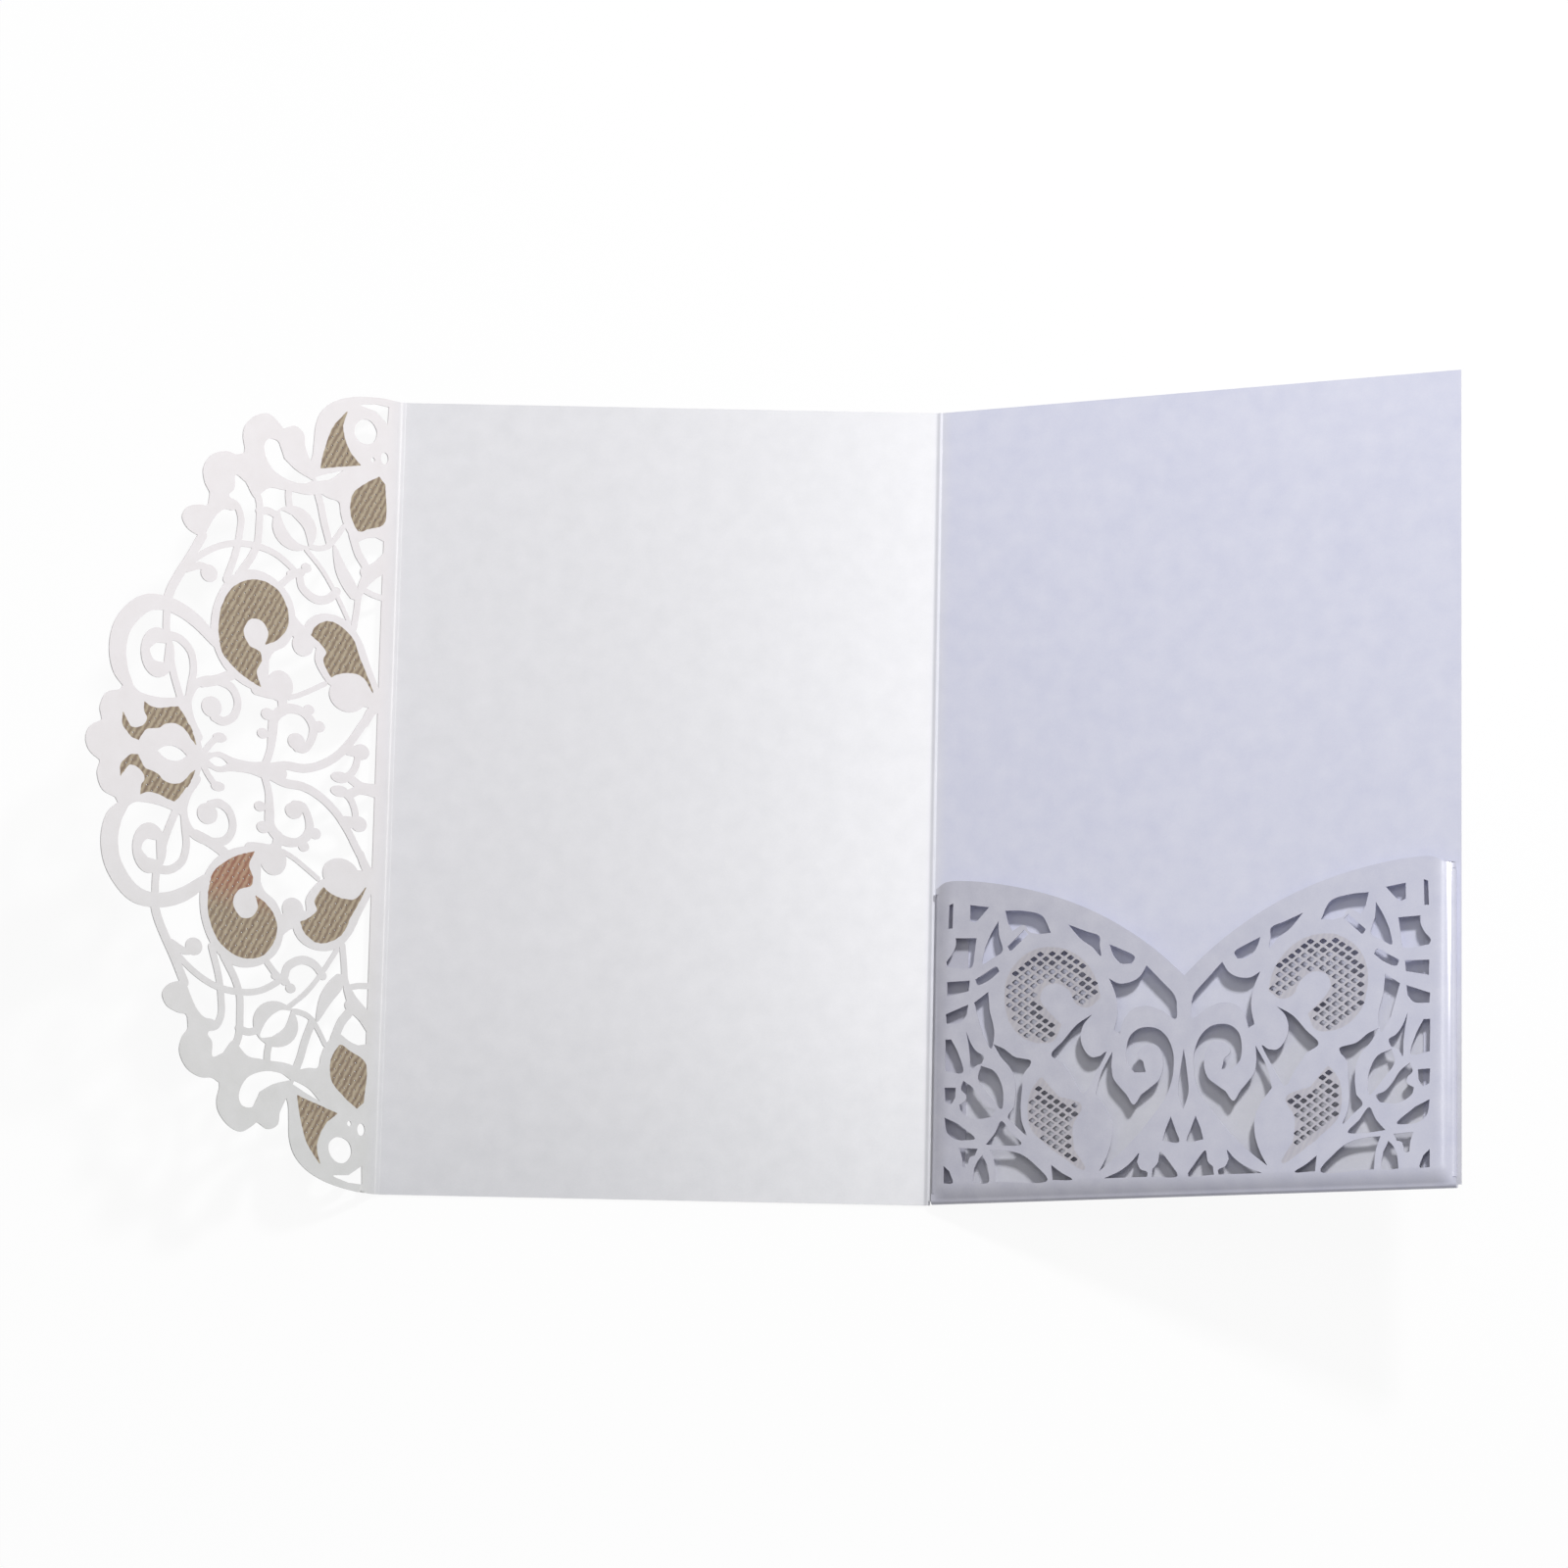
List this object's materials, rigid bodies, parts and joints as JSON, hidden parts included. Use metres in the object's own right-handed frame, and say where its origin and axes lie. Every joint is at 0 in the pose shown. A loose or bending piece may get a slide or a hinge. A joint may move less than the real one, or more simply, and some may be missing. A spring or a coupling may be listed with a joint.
{
  "type": "wedding invitation card",
  "caption": "Open tri-fold invitation card of pearl card: raised lace flap, plain middle panel and raised back panel with a lace-fronted pocket.",
  "frame": {"origin": "centre of the middle panel's underside, on the table", "axes": "+X from the lace flap's fold to the back panel's fold, +Y up the page away from the pocket's bottom fold, +Z away from the table"},
  "size_m": [0.3041, 0.185, 0.0572],
  "materials": {
    "pearl_card": "fine pearl sheen, semi-matt"
  },
  "bodies": {
    "root": {"card": "pearl_card"}
  },
  "joints": []
}
